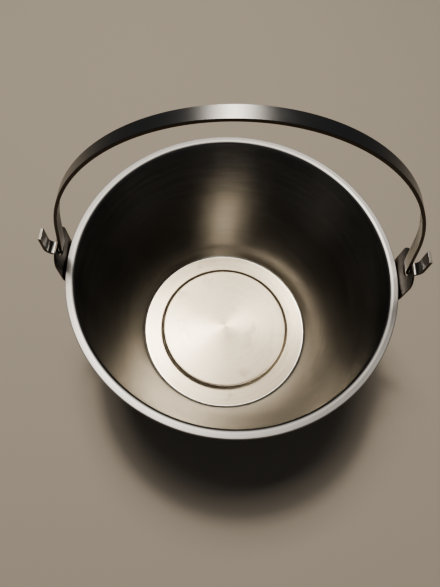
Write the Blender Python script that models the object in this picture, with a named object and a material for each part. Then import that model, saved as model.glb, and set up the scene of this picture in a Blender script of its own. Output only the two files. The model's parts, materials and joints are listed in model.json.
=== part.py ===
"""Tapered stainless steel pail with a flat strap bail handle.

Frame: origin at the centre of the standing face, +Z up, the two handle ears on the X axis,
+Y to the back. Metres. Five pieces: the pressed shell, the wire inside its rolled rim, an ear
on each side, and the bail whose hooked ends turn in the holes of the ears.
"""
import math

import bmesh
import bpy

# Shell, pressed from one sheet
RIM_RADIUS = 0.1525         # outside of the rolled rim
HEIGHT = 0.1670             # floor to the top of the rolled rim
SHEET = 0.0008              # sheet thickness
FOOT_RADIUS = 0.0985        # where the inside of the wall would meet the foot
FOOT_FILLET = 0.0025        # inside radius between foot and wall
DISC_RADIUS = 0.0745        # raised disc in the middle of the base
DISC_RAISE = 0.0043         # its height above the foot
DISC_SLOPE = 0.0035         # width of the sloping step round the disc
BEAD_RADIUS = 0.0030        # section of the rolled rim, outside radius
CURL_END = -150.0           # degrees round that section where the sheet ends
WALL_TOP_RADIUS = 0.1448    # where the inside of the wall would meet the top of the rim
SHOULDER_RADIUS = 0.0045    # bend between the wall and the flat top of the rim
TURNS = 64                  # facets round the shell

# Clearance between pieces that touch on the real pail
GAP = 0.0003

# Ears, one on each side, welded to the wall under the rim
EAR_THICKNESS = 0.0015
EAR_HALF_WIDTH = 0.0200
EAR_STAND_OFF = 0.0005      # between the rolled rim and the ear's inner face
EAR_RISE = 0.0300           # top of the ear above the rim
EAR_CORNER = 0.0130         # radius of its top corners
EAR_JOGGLE_TOP = 0.0055     # below the rim, where the upright part begins
EAR_JOGGLE_BOTTOM = 0.0150  # below the rim, where the part along the wall ends
EAR_LEG_END = 0.0420        # below the rim, lower end of the ear
EAR_LEG_CORNER = 0.0080     # radius of its bottom corners
HOLE_RADIUS = 0.0070        # pivot hole

# Bail, bent from flat strip
STRAP_WIDTH = 0.0116
STRAP_THICKNESS = 0.0026
PIVOT_RISE = 0.0190         # pivot axis above the rim
ARC_RADIUS = 0.1480         # middle of the strip, over the top
LEG_FLARE = 8.8             # degrees that the straight legs below the arc spread outwards
HOOK_X = 0.1583             # centre of the hook's bend, from the middle of the pail
HOOK_RADIUS = 0.0068        # middle of the strip in that bend
HOOK_DROP = 0.0022          # lowest middle of that bend below the pivot axis
HOOK_TIP = 0.0203           # cut end of the strip above the pivot axis
REST_LEAN = 3.0             # degrees that the bail leans back when it stands

PIVOT_HEIGHT = HEIGHT + PIVOT_RISE
BEAD_CENTRE_RADIUS = RIM_RADIUS - BEAD_RADIUS
BEAD_CENTRE_HEIGHT = HEIGHT - BEAD_RADIUS
WALL_SLOPE = (WALL_TOP_RADIUS - FOOT_RADIUS) / (HEIGHT - SHEET)
WALL_ANGLE = math.atan(WALL_SLOPE)


def clear_scene():
    """Remove whatever the file holds before the pail is made."""
    for item in list(bpy.data.objects):
        bpy.data.objects.remove(item, do_unlink=True)


def steel(name, colour, roughness):
    """A plain metal material."""
    material = bpy.data.materials.new(name)
    material.use_nodes = True
    shader = material.node_tree.nodes["Principled BSDF"]
    shader.inputs["Base Color"].default_value = (*colour, 1.0)
    shader.inputs["Metallic"].default_value = 1.0
    shader.inputs["Roughness"].default_value = roughness
    return material


def add_object(name, mesh, material):
    """Link a mesh as a named object with its material."""
    item = bpy.data.objects.new(name, mesh)
    item.data.materials.append(material)
    bpy.context.collection.objects.link(item)
    return item


def arc(centre, radius, start, end, steps):
    """Points on a circle in a vertical plane, from one angle to another, in degrees."""
    points = []
    for step in range(steps + 1):
        angle = math.radians(start + (end - start) * step / steps)
        points.append((centre[0] + radius * math.cos(angle), centre[1] + radius * math.sin(angle)))
    return points


def smooth(mesh, angle=40.0):
    """Shade round faces smooth and keep the real edges sharp."""
    mesh.shade_smooth()
    mesh.set_sharp_from_angle(angle=math.radians(angle))


def foot_fillet():
    """Inside fillet between the level foot and the sloping wall."""
    half_turn = (math.pi / 2 - WALL_ANGLE) / 2
    centre = (FOOT_RADIUS - FOOT_FILLET * math.tan(half_turn), SHEET + FOOT_FILLET)
    return arc(centre, FOOT_FILLET, -90.0, -math.degrees(WALL_ANGLE), 3)


def shoulder():
    """Bend from the sloping wall over to the flat top of the rim."""
    half_turn = (math.pi / 2 - WALL_ANGLE) / 2
    centre = (WALL_TOP_RADIUS + SHOULDER_RADIUS * math.tan(half_turn), HEIGHT - SHOULDER_RADIUS)
    return arc(centre, SHOULDER_RADIUS, 180.0 - math.degrees(WALL_ANGLE), 90.0, 5)


def shell_profile():
    """Upper face of the sheet as (radius, height), from the middle of the base to the curl's end."""
    points = [(0.0, SHEET + DISC_RAISE)]
    points += [(DISC_RADIUS, SHEET + DISC_RAISE)]
    points += [(DISC_RADIUS + DISC_SLOPE, SHEET)]
    points += foot_fillet()
    points += shoulder()
    points += arc((BEAD_CENTRE_RADIUS, BEAD_CENTRE_HEIGHT), BEAD_RADIUS, 90.0, CURL_END, 10)
    return points


def turned(name, profile, closed, material):
    """A profile turned once round the Z axis with a Screw modifier."""
    mesh = bpy.data.meshes.new(name)
    edges = [(i, i + 1) for i in range(len(profile) - 1)]
    if closed:
        edges.append((len(profile) - 1, 0))
    mesh.from_pydata([(radius, 0.0, height) for radius, height in profile], edges, [])
    item = add_object(name, mesh, material)
    screw = item.modifiers.new("turn", "SCREW")
    screw.steps = TURNS
    screw.render_steps = TURNS
    screw.use_merge_vertices = True
    screw.merge_threshold = 0.00001
    screw.use_smooth_shade = True
    return item


def bucket_shell(material):
    """The pressed body: its upper face is turned, and the sheet's thickness goes behind it."""
    item = turned("bucket_shell", shell_profile(), False, material)
    thick = item.modifiers.new("sheet", "SOLIDIFY")
    thick.thickness = SHEET
    thick.offset = -1.0
    thick.use_even_offset = True
    return item


def rim_wire(material):
    """The ring of round wire that the rim is rolled over."""
    wire_radius = BEAD_RADIUS - SHEET - GAP
    section = arc((BEAD_CENTRE_RADIUS, BEAD_CENTRE_HEIGHT), wire_radius, 360.0, 0.0, 8)[:-1]
    return turned("rim_wire", section, True, material)


def wall_outer_radius(height):
    """Outside of the sloping wall at a height."""
    return FOOT_RADIUS + (height - SHEET) * WALL_SLOPE + SHEET / math.cos(WALL_ANGLE)


def rounded_end(across, corner):
    """How far the outline of a round-cornered end falls short at a distance from its middle."""
    past = max(0.0, abs(across) - (EAR_HALF_WIDTH - corner))
    return corner - math.sqrt(max(0.0, corner * corner - past * past))


def ear_columns():
    """Places across the ear, closer together where its corners turn."""
    straight = EAR_HALF_WIDTH - EAR_CORNER
    side = [straight + EAR_CORNER * math.sin(math.radians(angle)) for angle in (0, 20, 40, 58, 75, 90)]
    return [-place for place in reversed(side)] + [0.0] + side


def ear_column_points(across):
    """Middle of the ear's sheet at one place across it, from its lower end to its top."""
    offset = (GAP + EAR_THICKNESS / 2) / math.cos(WALL_ANGLE)
    upright = RIM_RADIUS + EAR_STAND_OFF + EAR_THICKNESS / 2
    leg_low = HEIGHT - EAR_LEG_END + rounded_end(across, EAR_LEG_CORNER)
    leg_high = HEIGHT - EAR_JOGGLE_BOTTOM
    points = []
    for share in (0.0, 0.5, 1.0):
        height = leg_low + (leg_high - leg_low) * share
        radius = wall_outer_radius(height) + offset
        points.append((math.sqrt(radius * radius - across * across), across, height))
    plate_low = HEIGHT - EAR_JOGGLE_TOP
    plate_high = HEIGHT + EAR_RISE - rounded_end(across, EAR_CORNER)
    for share in (0.0, 0.35, 0.7, 1.0):
        points.append((upright, across, plate_low + (plate_high - plate_low) * share))
    return points


def ear(name, turn, cutter, material):
    """A joggled ear: along the wall, out under the rolled rim, then upright past it."""
    columns = [ear_column_points(across) for across in ear_columns()]
    rows = len(columns[0])
    build = bmesh.new()
    grid = [[build.verts.new(point) for point in column] for column in columns]
    for left, right in zip(grid, grid[1:]):
        for row in range(rows - 1):
            build.faces.new((left[row], right[row], right[row + 1], left[row + 1]))
    mesh = bpy.data.meshes.new(name)
    build.to_mesh(mesh)
    build.free()
    smooth(mesh)
    item = add_object(name, mesh, material)
    item.rotation_euler.z = turn
    thick = item.modifiers.new("sheet", "SOLIDIFY")
    thick.thickness = EAR_THICKNESS
    thick.offset = 0.0
    thick.use_even_offset = True
    hole = item.modifiers.new("pivot_hole", "BOOLEAN")
    hole.operation = "DIFFERENCE"
    hole.solver = "EXACT"
    hole.object = cutter
    return item


def pivot_hole_cutter():
    """One long round bar on the pivot axis, which cuts the hole of both ears."""
    bpy.ops.mesh.primitive_cylinder_add(
        vertices=32, radius=HOLE_RADIUS, depth=2.4 * RIM_RADIUS,
        location=(0.0, 0.0, PIVOT_HEIGHT), rotation=(0.0, math.pi / 2, 0.0))
    cutter = bpy.context.object
    cutter.name = "pivot_hole_cutter"
    cutter.hide_render = True
    cutter.display_type = "WIRE"
    return cutter


def bail_path():
    """Middle of the strip as (across, above the pivot), from one cut end to the other.

    An arc over the top, a straight leg that leaves it at the flare and touches the hook's bend,
    the bend, and a straight end."""
    flare = math.radians(LEG_FLARE)
    leg = (HOOK_X - (ARC_RADIUS + HOOK_RADIUS) * math.cos(flare)) / math.sin(flare)
    hook_height = HOOK_RADIUS - HOOK_DROP
    arc_height = hook_height - (ARC_RADIUS + HOOK_RADIUS) * math.sin(flare) + leg * math.cos(flare)
    half = arc((0.0, arc_height), ARC_RADIUS, 90.0, LEG_FLARE, 24)
    half += arc((HOOK_X, hook_height), HOOK_RADIUS, 180.0 + LEG_FLARE, 360.0, 12)
    half += [(HOOK_X + HOOK_RADIUS, HOOK_TIP)]
    other = [(-across, height) for across, height in reversed(half[1:])]
    return other + half


def bail(material):
    """The carrying handle, hooked at both ends, with its origin on the pivot axis."""
    build = bmesh.new()
    path = [build.verts.new((x, -STRAP_WIDTH / 2, z)) for x, z in bail_path()]
    edges = [build.edges.new(pair) for pair in zip(path, path[1:])]
    extruded = bmesh.ops.extrude_edge_only(build, edges=edges)
    moved = [part for part in extruded["geom"] if isinstance(part, bmesh.types.BMVert)]
    bmesh.ops.translate(build, verts=moved, vec=(0.0, STRAP_WIDTH, 0.0))
    mesh = bpy.data.meshes.new("bail")
    build.to_mesh(mesh)
    build.free()
    smooth(mesh)
    item = add_object("bail", mesh, material)
    item.location.z = PIVOT_HEIGHT
    item.rotation_euler.x = -math.radians(REST_LEAN)
    thick = item.modifiers.new("strip", "SOLIDIFY")
    thick.thickness = STRAP_THICKNESS
    thick.offset = 0.0
    thick.use_even_offset = True
    return item


def build_pail():
    """Make every piece of the pail in its place."""
    clear_scene()
    bucket_shell(steel("satin_spun_steel", (0.62, 0.60, 0.57), 0.30))
    rim_wire(steel("bright_wire_steel", (0.60, 0.60, 0.60), 0.35))
    cutter = pivot_hole_cutter()
    plate = steel("pressed_ear_steel", (0.50, 0.49, 0.47), 0.38)
    ear("ear_right", 0.0, cutter, plate)
    ear("ear_left", math.pi, cutter, plate)
    bail(steel("brushed_strip_steel", (0.60, 0.58, 0.56), 0.28))


build_pail()
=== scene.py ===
"""Looks of a tapered stainless steel pail with a strap bail.

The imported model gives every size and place. The shell, the wire in its rim, the two ears and
the bail are made again here as fine surfaces: grids of points worked out with numpy, each a
profile turned round the pail's axis or a section carried along the strip.
"""
import json
import math

import bpy
import numpy as np
from mathutils import Matrix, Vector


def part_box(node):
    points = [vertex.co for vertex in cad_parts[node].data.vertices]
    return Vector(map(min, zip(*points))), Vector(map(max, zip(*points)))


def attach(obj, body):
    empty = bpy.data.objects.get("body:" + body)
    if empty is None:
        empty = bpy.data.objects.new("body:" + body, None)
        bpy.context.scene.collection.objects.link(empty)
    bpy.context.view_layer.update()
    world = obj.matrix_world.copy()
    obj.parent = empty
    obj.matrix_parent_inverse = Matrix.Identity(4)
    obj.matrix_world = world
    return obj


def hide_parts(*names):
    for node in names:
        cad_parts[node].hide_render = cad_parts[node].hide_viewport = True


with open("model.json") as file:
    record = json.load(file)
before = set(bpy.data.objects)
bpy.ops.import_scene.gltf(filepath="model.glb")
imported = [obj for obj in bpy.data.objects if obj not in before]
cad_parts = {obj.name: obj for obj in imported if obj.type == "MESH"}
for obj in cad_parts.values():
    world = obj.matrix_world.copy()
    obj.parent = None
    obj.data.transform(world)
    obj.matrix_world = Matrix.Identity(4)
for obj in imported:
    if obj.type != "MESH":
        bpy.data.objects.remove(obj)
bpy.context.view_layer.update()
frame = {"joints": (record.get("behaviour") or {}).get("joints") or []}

# Gauges of the stock that the pieces are made from, and the radii that presswork leaves
SHEET = 0.0008
EAR_SHEET = 0.0015
STRIP_WIDTH = 0.0116
STRIP_THICKNESS = 0.0026
DEBURR = 0.00035
CLEARANCE = 0.0003

# Shape of the pressed base and wall
FOOT_RADIUS = 0.0985
FOOT_FILLET = 0.0025
DISC_RADIUS = 0.0745
DISC_RAISE = 0.0043
DISC_SLOPE = 0.0035
DISC_TOP_FILLET = 0.0030
DISC_FOOT_FILLET = 0.0022
WALL_TOP_RADIUS = 0.1448
SHOULDER_RADIUS = 0.0045
ROLL_SQUARENESS = 8.0
INSIDE_SQUARENESS = 3.0
CURL_END = math.radians(-150.0)

# Ears
EAR_CORNER = 0.0130
EAR_LEG_CORNER = 0.0080
EAR_JOGGLE = (0.0150, 0.0055)       # below the rim, lower and upper end of the outward bend
HOLE_RADIUS = 0.0070
WELD_RADIUS = 0.0024
WELD_DEPTH = 0.00028
WELD_ACROSS = 0.0105                # from the ear's middle line
WELD_MARGINS = (0.0075, 0.0060)     # from the ear's lower end and from the bend

# Bail
ARC_RADIUS = 0.1480
LEG_FLARE = math.radians(8.8)
HOOK_RADIUS = 0.0068
HOOK_DROP = 0.0022
HOOK_TIP = 0.0203
REST_LEAN = math.radians(3.0)

# Finishes
SHELL_ANISOTROPY = 0.72
STRIP_ANISOTROPY = 0.9
EAR_ANISOTROPY = 0.3
WALL_ROUGHNESS = 0.20
BASE_ROUGHNESS = 0.29
RIM_ROUGHNESS = 0.40
SHELL_DULL = (0.375, 0.37, 0.365)
SHELL_BRIGHT = (0.53, 0.525, 0.515)
# warm tints of the base, which is the same steel as the wall: a painted warm reflection
BASE_REFLECTION_DULL = (0.36, 0.318, 0.25)
BASE_REFLECTION_BRIGHT = (0.50, 0.445, 0.352)
# dark tint: painted shade in the step between disc and foot, and random stains on the base
STEP_SHADE_AND_STAIN = (0.11, 0.095, 0.08)
STRIP_DULL = (0.50, 0.495, 0.49)
STRIP_BRIGHT = (0.62, 0.615, 0.61)
# near black tint of the strip's edges: painted shade
STRIP_EDGE_SHADE = (0.10, 0.085, 0.07)
STRIP_END = (0.50, 0.47, 0.43)
# near black tints of the ears: painted shade
EAR_SHADE_DULL = (0.115, 0.10, 0.088)
EAR_SHADE_BRIGHT = (0.19, 0.17, 0.15)
WIRE_DULL = (0.30, 0.30, 0.29)
WIRE_BRIGHT = (0.40, 0.40, 0.39)

# Where the finishes of the shell change, each as the two ends of a soft change
STEP_BAND = (0.0012, 0.0026)        # either side of the slope between disc and foot, where the painted shade lies
BASE_TOP = (0.0060, 0.0110)         # height above the floor
BASE_EDGE = (FOOT_RADIUS - 0.0030, FOOT_RADIUS - 0.0010)
RIM_DEPTH = (0.0012, 0.0003)        # below the top of the rim

# Stage
FLOOR_COLOUR = (0.62, 0.56, 0.48)
FLOOR_HALF = 3.0
FLOOR_DROP = 0.0003
LAMP_COLOUR = (1.0, 0.93, 0.83)
SOFT_BOX_PLACE = (-0.22, 0.60, 2.10)
SMALL_LAMP_PLACE = (-0.22, 0.60, 2.05)
ROOM_COLOUR = (0.95, 0.97, 1.0)
ROOM_STRENGTH = 0.04
CAMERA_PLACE = (-0.0203, -0.1952, 0.5581)
CAMERA_LENS = 29.1
CAMERA_TURN = math.radians(-3.0)
CAMERA_TILT = math.radians(23.3)
CAMERA_ROLL = math.radians(6.09)


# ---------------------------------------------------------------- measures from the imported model

shell_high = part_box("bucket_shell")[1]
wire_low, wire_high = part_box("rim_wire")
ear_low, ear_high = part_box("ear_right")
bail_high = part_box("bail")[1]

RIM_RADIUS = shell_high[0]
HEIGHT = shell_high[2]
WIRE_RADIUS = (wire_high[2] - wire_low[2]) / 2
BEAD_RADIUS = WIRE_RADIUS + CLEARANCE + SHEET
BEAD_CENTRE = np.array([RIM_RADIUS - BEAD_RADIUS, HEIGHT - BEAD_RADIUS])
PIVOT_HEIGHT = frame["joints"][0]["pos_m"][2]
WALL_SLOPE = (WALL_TOP_RADIUS - FOOT_RADIUS) / (HEIGHT - SHEET)
WALL_ANGLE = math.atan(WALL_SLOPE)
EAR_HALF_WIDTH = (ear_high[1] - ear_low[1]) / 2
EAR_UPRIGHT = ear_high[0] - EAR_SHEET / 2
HOOK_X = bail_high[0] - STRIP_THICKNESS / 2 - HOOK_RADIUS


# ---------------------------------------------------------------- grids

def arc(centre, radius, start, end, steps):
    """Points at centre + radius * (cos a, sin a), with a running evenly from start to end."""
    angle = np.linspace(start, end, steps + 1)
    return np.column_stack([centre[0] + radius * np.cos(angle), centre[1] + radius * np.sin(angle)])


def straight(start, end, steps):
    """Points along a line, closer together at its ends: shares of its length are (1 - cos) / 2."""
    share = (1 - np.cos(np.linspace(0, math.pi, steps + 1))) / 2
    start, end = np.asarray(start), np.asarray(end)
    return start + (end - start) * share[:, None]


def filleted(corners, radii, steps):
    """A line through corners, each inner corner replaced by an arc that both its sides touch."""
    corners = [np.array(corner, float) for corner in corners]
    parts = []
    begin = corners[0]
    for before, corner, after, radius in zip(corners, corners[1:], corners[2:], radii):
        into = (corner - before) / np.linalg.norm(corner - before)
        out = (after - corner) / np.linalg.norm(after - corner)
        turn = math.atan2(into[0] * out[1] - into[1] * out[0], into @ out)
        reach = radius * math.tan(abs(turn) / 2)
        side = math.copysign(1.0, turn)
        touch = corner - into * reach
        centre = touch + side * radius * np.array([-into[1], into[0]])
        first = math.atan2(*(touch - centre)[::-1])
        parts.append(straight(begin, touch, 10)[:-1])
        parts.append(arc(centre, radius, first, first + turn, steps))
        begin = parts[-1][-1]
        parts[-1] = parts[-1][:-1]
    parts.append(straight(begin, corners[-1], 10))
    return np.vstack(parts)


def normals_2d(path):
    """Unit normals on the left of a path of points."""
    tangent = np.gradient(path, axis=0)
    tangent /= np.linalg.norm(tangent, axis=1)[:, None]
    return np.column_stack([-tangent[:, 1], tangent[:, 0]])


def quads(rows, columns, wrap_rows, wrap_columns):
    """Corner numbers of the faces of a grid of points, wrapped round where it closes."""
    index = np.arange(rows * columns).reshape(rows, columns)
    if wrap_rows:
        index = np.vstack([index, index[:1]])
    if wrap_columns:
        index = np.hstack([index, index[:, :1]])
    corners = [index[:-1, :-1], index[1:, :-1], index[1:, 1:], index[:-1, 1:]]
    return np.stack(corners, axis=-1).reshape(-1, 4)


def make_piece(name, points, faces, material):
    """One smooth-shaded object at the origin from points and faces."""
    mesh = bpy.data.meshes.new(name)
    mesh.from_pydata(points.reshape(-1, 3).tolist(), [], faces)
    mesh.materials.append(material)
    mesh.shade_smooth()
    mesh.update()
    piece = bpy.data.objects.new(name, mesh)
    bpy.context.scene.collection.objects.link(piece)
    return piece


def turned(name, profile, turns, material):
    """A profile of (radius, height) carried round Z: x = radius cos a, y = radius sin a.

    A profile that begins and ends on the axis closes in one point there, and any other closes
    on itself. The map "across_sheet" holds each point's distance along the profile."""
    on_axis = profile[0, 0] < 1e-9
    rings = profile[1:-1] if on_axis else profile
    angle = np.arange(turns) * 2 * math.pi / turns
    points = np.empty((len(rings), turns, 3))
    points[..., 0] = rings[:, :1] * np.cos(angle)
    points[..., 1] = rings[:, :1] * np.sin(angle)
    points[..., 2] = rings[:, 1:]
    faces = quads(len(rings), turns, not on_axis, True).tolist()
    points = points.reshape(-1, 3)
    if on_axis:
        first, last = len(points), len(points) + 1
        points = np.vstack([points, [[0, 0, profile[0, 1]]], [[0, 0, profile[-1, 1]]]])
        ring = np.arange(turns)
        after = (ring + 1) % turns
        end = (len(rings) - 1) * turns
        faces += np.column_stack([np.full(turns, first), ring, after]).tolist()
        faces += np.column_stack([np.full(turns, last), end + after, end + ring]).tolist()
    run = np.concatenate([[0], np.cumsum(np.linalg.norm(np.diff(profile, axis=0), axis=1))])
    travel = np.repeat(run[1:-1] if on_axis else run, turns)
    if on_axis:
        travel = np.concatenate([travel, [run[0], run[-1]]])
    piece = make_piece(name, points, faces, material)
    corner = np.empty(len(piece.data.loops), int)
    piece.data.loops.foreach_get("vertex_index", corner)
    place = np.column_stack([travel[corner], np.zeros(len(corner))])
    piece.data.uv_layers.new(name="across_sheet").data.foreach_set("uv", place.ravel())
    return piece


# ---------------------------------------------------------------- pieces

def rolled_rim(radius, squareness, steps):
    """One face of the roll over the wire, from its top outwards: above its middle a flattened
    curve, cos(a) and sin(a) each to the power 2 / squareness, and below it a circle."""
    angle = np.linspace(math.pi / 2, CURL_END, steps + 1)
    across, up = np.cos(angle), np.sin(angle)
    power = np.where(up > 0, 2 / squareness, 1.0)
    across = np.sign(across) * np.abs(across) ** power
    up = np.sign(up) * np.abs(up) ** power
    return BEAD_CENTRE + radius * np.column_stack([across, up])


def shell_profile():
    """Section of the pressed sheet: its upper face from the axis to the curl's end, a round
    cut edge, and its under face back to the axis, a sheet's thickness behind. Inside the roll
    the under face is a rounder curve, which follows the wire."""
    disc_top = SHEET + DISC_RAISE
    corners = [(0, disc_top), (DISC_RADIUS, disc_top), (DISC_RADIUS + DISC_SLOPE, SHEET),
               (FOOT_RADIUS, SHEET), (WALL_TOP_RADIUS, HEIGHT), (BEAD_CENTRE[0], HEIGHT)]
    radii = [DISC_TOP_FILLET, DISC_FOOT_FILLET, FOOT_FILLET, SHOULDER_RADIUS]
    pressed = filleted(corners, radii, 12)[:-1]
    normal = normals_2d(pressed)
    normal[0] = (0, 1)
    upper = np.vstack([pressed, rolled_rim(BEAD_RADIUS, ROLL_SQUARENESS, 48)])
    inside = rolled_rim(BEAD_RADIUS - SHEET, INSIDE_SQUARENESS, 48)
    under = np.vstack([pressed - normal * SHEET, inside])
    middle = (upper[-1] + under[-1]) / 2
    edge = arc(middle, SHEET / 2, CURL_END, CURL_END - math.pi, 6)[1:-1]
    profile = np.vstack([upper, edge, under[::-1]])
    profile[0, 0] = 0
    profile[-1, 0] = 0
    return profile


def pail_shell(material):
    """The spun body: base, wall and rolled rim in one sheet."""
    piece = turned("spun_pail_shell", shell_profile(), 288, material)
    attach(piece, "pail")
    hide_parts("bucket_shell")
    return piece


def rim_ring(material):
    """The round wire inside the rolled rim, a circle carried round the axis."""
    ring_radius = wire_high[0] - WIRE_RADIUS
    section = arc((ring_radius, BEAD_CENTRE[1]), WIRE_RADIUS, 2 * math.pi, 0, 20)[:-1]
    piece = turned("rim_wire_ring", section, 288, material)
    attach(piece, "pail")
    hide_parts("rim_wire")
    return piece


def ear_outline():
    """Edge of the ear's plate as (across, height): a rectangle with round corners."""
    wide, low, high = EAR_HALF_WIDTH, ear_low[2], ear_high[2]
    top, foot = EAR_CORNER, EAR_LEG_CORNER
    quarter = math.pi / 2
    parts = [straight((wide, low + foot), (wide, high - top), 40)[:-1],
             arc((wide - top, high - top), top, 0, quarter, 20)[:-1],
             straight((wide - top, high), (top - wide, high), 12)[:-1],
             arc((top - wide, high - top), top, quarter, 2 * quarter, 20)[:-1],
             straight((-wide, high - top), (-wide, low + foot), 40)[:-1],
             arc((foot - wide, low + foot), foot, 2 * quarter, 3 * quarter, 14)[:-1],
             straight((foot - wide, low), (wide - foot, low), 20)[:-1],
             arc((wide - foot, low + foot), foot, -quarter, 0, 14)[:-1]]
    return np.vstack(parts)


def ear_middle(across, height):
    """Middle of the ear's sheet, the distance out from the axis at a place across and a height.

    Along the wall it follows the cone at root(radius squared - across squared). Above the bend
    it is upright. A smooth step, 3 s squared - 2 s cubed, blends the two under the rolled rim."""
    stand_off = (CLEARANCE + EAR_SHEET / 2 + SHEET) / math.cos(WALL_ANGLE)
    radius = FOOT_RADIUS + (height - SHEET) * WALL_SLOPE + stand_off
    leg = np.sqrt(radius ** 2 - across ** 2)
    share = np.clip((height - (HEIGHT - EAR_JOGGLE[0])) / (EAR_JOGGLE[0] - EAR_JOGGLE[1]), 0, 1)
    step = share ** 2 * (3 - 2 * share)
    return leg + (EAR_UPRIGHT - leg) * step


def ear_normal(across, height):
    """Unit outward normal of the ear's sheet, from differences over a short distance."""
    short = 1e-5
    over_y = ear_middle(across + short, height) - ear_middle(across - short, height)
    over_z = ear_middle(across, height + short) - ear_middle(across, height - short)
    slope_y, slope_z = over_y / (2 * short), over_z / (2 * short)
    normal = np.stack([np.ones_like(slope_y), -slope_y, -slope_z], axis=-1)
    return normal / np.linalg.norm(normal, axis=-1, keepdims=True)


def weld_places():
    """Middles of the four spot welds on the part that lies along the wall."""
    low = ear_low[2] + WELD_MARGINS[0]
    high = HEIGHT - EAR_JOGGLE[0] - WELD_MARGINS[1]
    return [(side * WELD_ACROSS, height) for side in (-1, 1) for height in (low, high)]


def ear_section(steps):
    """Once round the plate's thickness: shares of the way from hole to edge, the inset from
    either end and the offset from the middle of the sheet, with a small round on each edge.

    The shares are a blend of an even spacing and of (1 - cos) / 2, which is closer at the ends."""
    half, round_steps, evenness = EAR_SHEET / 2, 4, 0.65
    eased = (1 - np.cos(np.linspace(0, math.pi, steps))) / 2
    flat = eased * (1 - evenness) + np.linspace(0, 1, steps) * evenness
    turn = np.linspace(0, math.pi / 2, round_steps + 1)[1:]
    inset = DEBURR * (1 - np.sin(turn))
    drop = half - DEBURR * (1 - np.cos(turn))
    edge = 2 * round_steps
    share = np.concatenate([flat, np.ones(edge), flat[::-1], np.zeros(edge)])
    inset_all = np.concatenate([np.full(steps, DEBURR), inset, inset[::-1],
                                np.full(steps, DEBURR), inset, inset[::-1]])
    offset = np.concatenate([np.full(steps, half), drop, -drop[::-1],
                             np.full(steps, -half), -drop, drop[::-1]])
    return share, inset_all, offset


def ear_plate(name, side, node, material):
    """An ear: rays run from the pivot hole to the outline, and the section goes round them.

    Each ray point is moved onto the bent middle surface and out along its normal. The spot
    welds dent the outer face by a depth times exp(-(distance / radius) to the fourth)."""
    outline = ear_outline()
    from_hole = outline - [0, PIVOT_HEIGHT]
    length = np.linalg.norm(from_hole, axis=1)
    ray = from_hole / length[:, None]
    share, inset, offset = ear_section(64)
    near = np.where(share < 0.5, 1.0, -1.0)
    along = HOLE_RADIUS + share * (length[:, None] - HOLE_RADIUS)
    along = along + inset * np.where((share > 0) & (share < 1), 1 - 2 * share, near)
    across = ray[:, :1] * along
    height = PIVOT_HEIGHT + ray[:, 1:] * along
    dent = np.zeros_like(across)
    for weld_y, weld_z in weld_places():
        distance = np.hypot(across - weld_y, height - weld_z)
        dent += WELD_DEPTH * np.exp(-(distance / WELD_RADIUS) ** 4)
    out = offset - np.where(offset > 0, dent, 0)
    normal = ear_normal(across, height)
    sheet = np.stack([ear_middle(across, height), across, height], axis=-1)
    points = sheet + normal * out[..., None]
    points[..., 0] *= side
    points[..., 1] *= side
    faces = quads(*across.shape, True, True)
    piece = make_piece(name, points, faces.tolist(), material)
    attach(piece, "pail")
    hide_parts(node)
    return piece


def bail_path():
    """Middle of the strip as (across, above the pivot), from one cut end to the other.

    A round arch, a straight leg that leaves it at the flare and touches the hook's circle, the
    hook, and a straight end. The leg's length is the one that makes both touch."""
    cos_flare, sin_flare = math.cos(LEG_FLARE), math.sin(LEG_FLARE)
    leg = (HOOK_X - (ARC_RADIUS + HOOK_RADIUS) * cos_flare) / sin_flare
    hook_height = HOOK_RADIUS - HOOK_DROP
    arch_height = hook_height - (ARC_RADIUS + HOOK_RADIUS) * sin_flare + leg * cos_flare
    arch = arc((0, arch_height), ARC_RADIUS, math.pi / 2, LEG_FLARE, 60)
    hook = arc((HOOK_X, hook_height), HOOK_RADIUS, math.pi + LEG_FLARE, 2 * math.pi, 36)
    tip = straight(hook[-1], (HOOK_X + HOOK_RADIUS, HOOK_TIP - DEBURR), 8)
    end = tip[-1] + np.outer(np.sin(np.linspace(0, math.pi / 2, 5)[1:]), (0, DEBURR))
    half = np.vstack([arch[:-1], straight(arch[-1], hook[0], 12), hook[1:], tip[1:], end])
    other = half[:0:-1] * [-1, 1]
    return np.vstack([other, half])


def strip_section():
    """Section of the strip as (through, across): a rectangle with small round edges."""
    half_t, half_w = STRIP_THICKNESS / 2, STRIP_WIDTH / 2
    edge = DEBURR
    quarter = math.pi / 2
    parts = [straight((half_t, edge - half_w), (half_t, half_w - edge), 10)[:-1],
             arc((half_t - edge, half_w - edge), edge, 0, quarter, 5)[:-1],
             straight((half_t - edge, half_w), (edge - half_t, half_w), 4)[:-1],
             arc((edge - half_t, half_w - edge), edge, quarter, 2 * quarter, 5)[:-1],
             straight((-half_t, half_w - edge), (-half_t, edge - half_w), 10)[:-1],
             arc((edge - half_t, edge - half_w), edge, 2 * quarter, 3 * quarter, 5)[:-1],
             straight((edge - half_t, -half_w), (half_t - edge, -half_w), 4)[:-1],
             arc((half_t - edge, edge - half_w), edge, -quarter, 0, 5)[:-1]]
    return np.vstack(parts)


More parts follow.
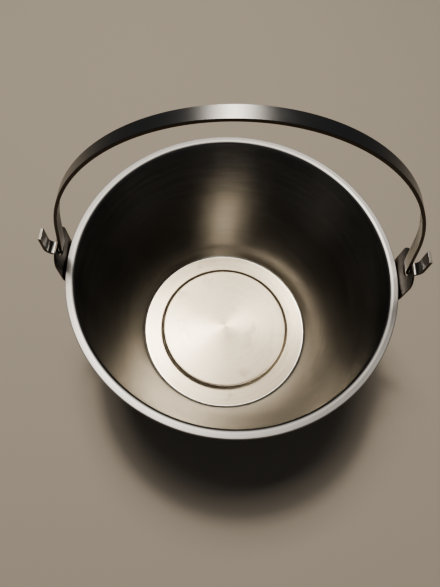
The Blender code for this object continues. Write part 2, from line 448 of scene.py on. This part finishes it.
def bail_strip(material, edge_shade_material, end_material):
    """The bail: the strip's section carried along its path, then leaned back on the pivot.

    Within one rounding of a cut end the section draws in by the rounding * (1 - sqrt(1 - share
    squared)), so the end has a small round on its edges too."""
    path = bail_path()
    normal = normals_2d(path)
    section = strip_section()
    run = np.concatenate([[0], np.cumsum(np.linalg.norm(np.diff(path, axis=0), axis=1))])
    through, wide = section[:, 0], section[:, 1]
    from_end = np.minimum(run, run[-1] - run)
    short = DEBURR * (1 - np.sqrt(1 - (1 - np.clip(from_end / DEBURR, 0, 1)) ** 2))
    points = np.empty((len(path), len(section), 3))
    across = through * (1 - short[:, None] / (STRIP_THICKNESS / 2))
    points[..., 0] = path[:, :1] + normal[:, :1] * across
    points[..., 1] = wide * (1 - short[:, None] / (STRIP_WIDTH / 2))
    points[..., 2] = path[:, 1:] + normal[:, 1:] * across
    lean, rise = math.cos(REST_LEAN), math.sin(REST_LEAN)
    back = points[..., 1] * lean + points[..., 2] * rise
    points[..., 2] = points[..., 2] * lean - points[..., 1] * rise + PIVOT_HEIGHT
    points[..., 1] = back
    count = len(section)
    faces = quads(len(path), count, False, True).tolist()
    faces.append(list(range(count)))
    faces.append([len(path) * count - 1 - number for number in range(count)])
    piece = make_piece("bail_strip", points, faces, material)
    mesh = piece.data
    mesh.materials.append(edge_shade_material)
    mesh.materials.append(end_material)
    middle = (section + np.roll(section, -1, axis=0)) / 2
    # faces on the strip's edges take the dark edge material, a painted shade
    edge = np.abs(middle[:, 1]) > STRIP_WIDTH / 2 - DEBURR / 2
    slots = np.concatenate([np.tile(edge, len(path) - 1), [2, 2]]).astype(np.int32)
    mesh.polygons.foreach_set("material_index", slots)
    for end in mesh.polygons[-2:]:
        end.use_smooth = False
    corner = np.empty(len(mesh.loops), int)
    mesh.loops.foreach_get("vertex_index", corner)
    around = np.concatenate([[0], np.cumsum(np.linalg.norm(np.diff(section, axis=0), axis=1))])
    place = np.column_stack([run[corner // count], around[corner % count]])
    mesh.uv_layers.new(name="along_strip").data.foreach_set("uv", place.ravel())
    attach(piece, "bail")
    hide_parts("bail")
    return piece


# ---------------------------------------------------------------- finishes

def add_node(tree, kind, values=(), **settings):
    """A node with some of its settings and some of its sockets set or linked."""
    made = tree.nodes.new(kind)
    for key, value in settings.items():
        setattr(made, key, value)
    for key, value in dict(values).items():
        if isinstance(value, bpy.types.NodeSocket):
            tree.links.new(value, made.inputs[key])
        else:
            made.inputs[key].default_value = value
    return made


def maths(tree, operation, first, second=0.0):
    """Result of one Math node."""
    return add_node(tree, "ShaderNodeMath", {0: first, 1: second}, operation=operation).outputs[0]


def ramp(tree, value, low, high, out_low, out_high):
    """A value mapped in a straight line from one range to another and held at its ends."""
    sockets = {"Value": value, "From Min": low, "From Max": high,
               "To Min": out_low, "To Max": out_high}
    return add_node(tree, "ShaderNodeMapRange", sockets).outputs[0]


def noise(tree, vector, scale, detail=2.0, roughness=0.5):
    """Value of a noise at a place."""
    sockets = {"Vector": vector, "Scale": scale, "Detail": detail, "Roughness": roughness}
    return add_node(tree, "ShaderNodeTexNoise", sockets).outputs["Fac"]


def stretched(tree, vector, scale):
    """A place times a scale along each axis."""
    sockets = {"Vector": vector, "Scale": scale}
    return add_node(tree, "ShaderNodeMapping", sockets).outputs[0]


def metal(name, anisotropy):
    """A metal material with its node tree and shader, its anisotropy turned a quarter circle."""
    material = bpy.data.materials.new(name)
    material.use_nodes = True
    tree = material.node_tree
    shader = tree.nodes["Principled BSDF"]
    shader.inputs["Metallic"].default_value = 1.0
    shader.inputs["Anisotropic"].default_value = anisotropy
    shader.inputs["Anisotropic Rotation"].default_value = 0.25
    return material, tree, shader


def blend(tree, share, first, second):
    """Colour a share of the way from one colour to another, each a tint or a socket."""
    sockets = {0: share}
    for number, colour in ((6, first), (7, second)):
        sockets[number] = (*colour, 1.0) if isinstance(colour, tuple) else colour
    return add_node(tree, "ShaderNodeMix", sockets, data_type="RGBA").outputs[2]


def brush_marks(tree, shader, height, strength, distance):
    """A shallow bump from a value."""
    sockets = {"Height": height, "Strength": strength, "Distance": distance}
    bump = add_node(tree, "ShaderNodeBump", sockets)
    tree.links.new(bump.outputs[0], shader.inputs["Normal"])


def spun_steel():
    """Satin steel brushed round the axis, with turning lines, soft bands and faint smudges.

    The base and the rolled rim are duller than the wall between them. The base's warm tint is a
    painted warm reflection, the step between disc and foot is darkened as painted shade, and the
    dark spots on the base are stains."""
    material, tree, shader = metal("spun_satin_steel", SHELL_ANISOTROPY)
    place = add_node(tree, "ShaderNodeTexCoord").outputs["Object"]
    parts = add_node(tree, "ShaderNodeSeparateXYZ", {0: place}).outputs
    level = add_node(tree, "ShaderNodeCombineXYZ", {"X": parts[0], "Y": parts[1]}).outputs[0]
    radius = add_node(tree, "ShaderNodeVectorMath", {0: level}, operation="LENGTH").outputs["Value"]
    around = add_node(tree, "ShaderNodeVectorMath", {0: level}, operation="NORMALIZE").outputs[0]
    compass = add_node(tree, "ShaderNodeSeparateXYZ", {0: around}).outputs
    travel = add_node(tree, "ShaderNodeUVMap", uv_map="across_sheet").outputs[0]
    travel = add_node(tree, "ShaderNodeSeparateXYZ", {0: travel}).outputs[0]
    from_step = maths(tree, "SUBTRACT", radius, DISC_RADIUS + DISC_SLOPE / 2)
    from_step = maths(tree, "ABSOLUTE", from_step)
    step = ramp(tree, from_step, *STEP_BAND, 1.0, 0.0)
    low = ramp(tree, parts[2], *BASE_TOP, 1.0, 0.0)
    inner = ramp(tree, radius, *BASE_EDGE, 1.0, 0.0)
    flat = maths(tree, "MULTIPLY", low, inner)
    base = maths(tree, "MULTIPLY", flat, maths(tree, "SUBTRACT", 1.0, step))
    rim = ramp(tree, parts[2], HEIGHT - RIM_DEPTH[0], HEIGHT - RIM_DEPTH[1], 0.0, 1.0)

    def lines(across_scale, round_scale):
        """Place on the sheet, stretched round the axis."""
        sockets = {"X": maths(tree, "MULTIPLY", travel, across_scale),
                   "Y": maths(tree, "MULTIPLY", compass[0], round_scale),
                   "Z": maths(tree, "MULTIPLY", compass[1], round_scale)}
        return add_node(tree, "ShaderNodeCombineXYZ", sockets).outputs[0]

    fine = noise(tree, lines(2600.0, 5.0), 1.0, 3.0, 0.6)
    bands = noise(tree, lines(260.0, 1.6), 1.0, 3.0, 0.55)
    smudge = noise(tree, place, 26.0, 4.0, 0.6)
    cloud = noise(tree, place, 9.0, 2.0, 0.5)
    grain = maths(tree, "ADD", maths(tree, "MULTIPLY", fine, 0.6),
                  maths(tree, "MULTIPLY", bands, 0.4))
    streak = ramp(tree, grain, 0.3, 0.7, 0.0, 1.0)
    wall_colour = blend(tree, streak, SHELL_DULL, SHELL_BRIGHT)
    # the base tinted warm: a painted warm reflection
    base_reflection_colour = blend(tree, streak, BASE_REFLECTION_DULL, BASE_REFLECTION_BRIGHT)
    colour = blend(tree, flat, wall_colour, base_reflection_colour)
    # painted shade: the step between disc and foot is darkened half way to the dark tint
    step_shade = maths(tree, "MULTIPLY", low, maths(tree, "MULTIPLY", step, 0.5))
    colour = blend(tree, step_shade, colour, STEP_SHADE_AND_STAIN)
    # random dark stains on the base, in the same tint
    spot = ramp(tree, noise(tree, place, 45.0, 3.0, 0.5), 0.62, 0.72, 0.0, 0.25)
    colour = blend(tree, maths(tree, "MULTIPLY", base, spot), colour, STEP_SHADE_AND_STAIN)
    tree.links.new(colour, shader.inputs["Base Color"])
    rough = ramp(tree, grain, 0.3, 0.7, WALL_ROUGHNESS - 0.04, WALL_ROUGHNESS + 0.04)
    for share in (maths(tree, "MULTIPLY", base, BASE_ROUGHNESS - WALL_ROUGHNESS),
                  maths(tree, "MULTIPLY", rim, RIM_ROUGHNESS - WALL_ROUGHNESS),
                  ramp(tree, smudge, 0.45, 0.75, 0.0, 0.03),
                  ramp(tree, cloud, 0.4, 0.7, 0.0, 0.03)):
        rough = maths(tree, "ADD", rough, share)
    tree.links.new(rough, shader.inputs["Roughness"])
    up = add_node(tree, "ShaderNodeCombineXYZ", {"Z": 1.0}).outputs[0]
    cross = add_node(tree, "ShaderNodeVectorMath", {0: up, 1: around}, operation="CROSS_PRODUCT")
    tree.links.new(cross.outputs[0], shader.inputs["Tangent"])
    brush_marks(tree, shader, grain, 0.25, 0.00004)
    return material


def strip_steel():
    """Strip brushed along its length; its edges take another material, painted dark as shade."""
    material, tree, shader = metal("brushed_strip_steel", STRIP_ANISOTROPY)
    tangent = add_node(tree, "ShaderNodeTangent", direction_type="UV_MAP", uv_map="along_strip")
    tree.links.new(tangent.outputs[0], shader.inputs["Tangent"])
    flat = add_node(tree, "ShaderNodeUVMap", uv_map="along_strip").outputs[0]
    fine = noise(tree, stretched(tree, flat, (25.0, 4200.0, 1.0)), 1.0, 3.0, 0.6)
    place = add_node(tree, "ShaderNodeTexCoord").outputs["Object"]
    smudge = noise(tree, place, 60.0, 4.0, 0.6)
    colour = blend(tree, ramp(tree, fine, 0.3, 0.7, 0.0, 1.0), STRIP_DULL, STRIP_BRIGHT)
    tree.links.new(colour, shader.inputs["Base Color"])
    smear = ramp(tree, smudge, 0.45, 0.75, 0.0, 0.05)
    rough = maths(tree, "ADD", ramp(tree, fine, 0.3, 0.7, 0.37, 0.42), smear)
    tree.links.new(rough, shader.inputs["Roughness"])
    brush_marks(tree, shader, fine, 0.1, 0.00002)
    return material


def sheared_steel(name, tint):
    """Rough torn steel of the strip's sheared edges and cut ends; on the edges the dark tint is
    painted shade.
    """
    material, tree, shader = metal(name, 0.0)
    place = add_node(tree, "ShaderNodeTexCoord").outputs["Object"]
    torn = noise(tree, place, 700.0, 4.0, 0.6)
    bright = tuple(1.4 * part for part in tint)
    colour = blend(tree, ramp(tree, torn, 0.35, 0.7, 0.0, 1.0), tint, bright)
    tree.links.new(colour, shader.inputs["Base Color"])
    tree.links.new(ramp(tree, torn, 0.3, 0.7, 0.40, 0.55), shader.inputs["Roughness"])
    brush_marks(tree, shader, torn, 0.4, 0.00006)
    return material


def shaded_ear_steel():
    """Sheet of the ears, painted dark: painted shade, as the ears lie in shade."""
    material, tree, shader = metal("pressed_ear_steel", EAR_ANISOTROPY)
    place = add_node(tree, "ShaderNodeTexCoord").outputs["Object"]
    fine = noise(tree, stretched(tree, place, (900.0, 900.0, 60.0)), 1.0, 3.0, 0.6)
    smudge = noise(tree, place, 90.0, 4.0, 0.6)
    # painted shade: the ears' sheet is tinted near black
    colour = blend(tree, ramp(tree, fine, 0.3, 0.7, 0.0, 1.0), EAR_SHADE_DULL, EAR_SHADE_BRIGHT)
    tree.links.new(colour, shader.inputs["Base Color"])
    smear = ramp(tree, smudge, 0.4, 0.75, 0.0, 0.10)
    rough = maths(tree, "ADD", ramp(tree, fine, 0.3, 0.7, 0.30, 0.38), smear)
    tree.links.new(rough, shader.inputs["Roughness"])
    brush_marks(tree, shader, fine, 0.3, 0.00004)
    return material


def wire_steel():
    """Drawn wire, seen only through the gap under the rolled rim."""
    material, tree, shader = metal("drawn_wire_steel", 0.0)
    place = add_node(tree, "ShaderNodeTexCoord").outputs["Object"]
    speck = noise(tree, place, 400.0, 3.0, 0.6)
    colour = blend(tree, ramp(tree, speck, 0.3, 0.7, 0.0, 1.0), WIRE_DULL, WIRE_BRIGHT)
    tree.links.new(colour, shader.inputs["Base Color"])
    tree.links.new(ramp(tree, speck, 0.3, 0.7, 0.30, 0.45), shader.inputs["Roughness"])
    return material


# ---------------------------------------------------------------- stage

def floor():
    """A plain pale floor just under the standing ring."""
    sides = [(-1, -1), (1, -1), (1, 1), (-1, 1)]
    corners = np.array([(FLOOR_HALF * x, FLOOR_HALF * y, -FLOOR_DROP) for x, y in sides])
    material = bpy.data.materials.new("pale_floor")
    material.use_nodes = True
    shader = material.node_tree.nodes["Principled BSDF"]
    shader.inputs["Base Color"].default_value = (*FLOOR_COLOUR, 1.0)
    shader.inputs["Roughness"].default_value = 0.9
    make_piece("pale_floor", corners, [(0, 1, 2, 3)], material)


def soft_light(name, place, aim, size, power):
    """A square soft box that faces a point, its side in metres and its power in watts."""
    data = bpy.data.lights.new(name, "AREA")
    data.shape = "SQUARE"
    data.size = size
    data.energy = power
    data.color = LAMP_COLOUR
    lamp = bpy.data.objects.new(name, data)
    bpy.context.scene.collection.objects.link(lamp)
    lamp.location = place
    direction = np.array(aim) - np.array(place)
    lamp.rotation_euler = (math.atan2(math.hypot(direction[0], direction[1]), -direction[2]), 0,
                           math.atan2(direction[0], -direction[1]) + math.pi)


def studio():
    """A soft box high up behind and to the left, a small lamp in it, and a dim room."""
    middle = (0.0, 0.0, HEIGHT / 2)
    soft_light("high_soft_box", SOFT_BOX_PLACE, middle, size=0.75, power=17.0)
    soft_light("small_lamp", SMALL_LAMP_PLACE, middle, size=0.18, power=8.0)
    world = bpy.data.worlds.new("dim_room")
    world.use_nodes = True
    background = world.node_tree.nodes["Background"]
    background.inputs["Color"].default_value = (*ROOM_COLOUR, 1.0)
    background.inputs["Strength"].default_value = ROOM_STRENGTH
    bpy.context.scene.world = world


def camera():
    """Looking steeply down over the front of the rim, turned a little on its own axis."""
    data = bpy.data.cameras.new("main_camera")
    data.lens = CAMERA_LENS
    seen_from = bpy.data.objects.new("main_camera", data)
    bpy.context.scene.collection.objects.link(seen_from)
    seen_from.location = CAMERA_PLACE
    turned_down = Matrix.Rotation(CAMERA_TURN, 3, "Z") @ Matrix.Rotation(CAMERA_TILT, 3, "X")
    seen_from.rotation_euler = (turned_down @ Matrix.Rotation(CAMERA_ROLL, 3, "Z")).to_euler()
    bpy.context.scene.camera = seen_from


bpy.context.scene.view_settings.look = "AgX - Medium High Contrast"
camera()
pail_shell(spun_steel())
rim_ring(wire_steel())
ear_shade_finish = shaded_ear_steel()
ear_plate("welded_ear_right", 1, "ear_right", ear_shade_finish)
ear_plate("welded_ear_left", -1, "ear_left", ear_shade_finish)
# the edges' near black tint is painted shade
strip_edge_shade = sheared_steel("strip_edge_painted_shade", STRIP_EDGE_SHADE)
strip_end = sheared_steel("cut_strip_end", STRIP_END)
bail_strip(strip_steel(), strip_edge_shade, strip_end)
floor()
studio()
